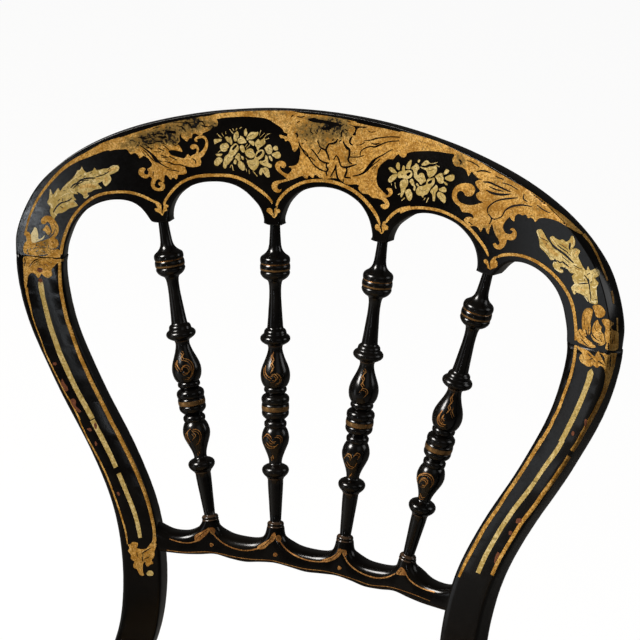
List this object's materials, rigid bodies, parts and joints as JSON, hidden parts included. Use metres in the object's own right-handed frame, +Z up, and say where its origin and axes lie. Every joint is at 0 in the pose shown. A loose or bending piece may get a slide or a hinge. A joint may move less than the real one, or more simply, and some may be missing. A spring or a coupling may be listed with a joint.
{
  "type": "side chair",
  "caption": "Ebonised side chair with an arched crest, turned spindles in a raked balloon back, a caned seat and turned front legs on stretchers.",
  "frame": {"origin": "middle of the bounding box on the floor plane", "axes": "+Z up, -Y to the front of the seat, +X to the right of someone who looks at the chair's front"},
  "size_m": [0.412, 0.4796, 0.842],
  "materials": {
    "black_lacquer": "ebonised hardwood under satin varnish, with bronze-gold stencil work on the faces of the back",
    "gold_stencil": "bronze powder stencil and freehand gold lines under varnish, worn",
    "bare_wood": "unpainted hardwood dowel inside a joint",
    "woven_cane": "hand-woven natural cane, aged",
    "cane_binding": "flat cane binding over the rebate edge"
  },
  "bodies": {
    "root": {"crest_rail": "black_lacquer", "back_post_left": "black_lacquer", "back_post_right": "black_lacquer", "lower_back_rail": "black_lacquer", "crest_dowels": "bare_wood", "spindle_1": "black_lacquer", "spindle_2": "black_lacquer", "spindle_3": "black_lacquer", "spindle_4": "black_lacquer", "front_leg_left": "black_lacquer", "front_leg_right": "black_lacquer", "front_stretcher_upper": "black_lacquer", "front_stretcher_lower": "black_lacquer", "left_stretcher_upper": "black_lacquer", "left_stretcher_lower": "black_lacquer", "right_stretcher_upper": "black_lacquer", "right_stretcher_lower": "black_lacquer", "rear_stretcher": "black_lacquer", "seat_front_rail": "black_lacquer", "seat_left_rail": "black_lacquer", "seat_right_rail": "black_lacquer", "seat_rear_rail": "black_lacquer", "seat_dowels": "bare_wood", "cane_seat": "woven_cane", "cane_binding": "cane_binding"}
  },
  "joints": []
}
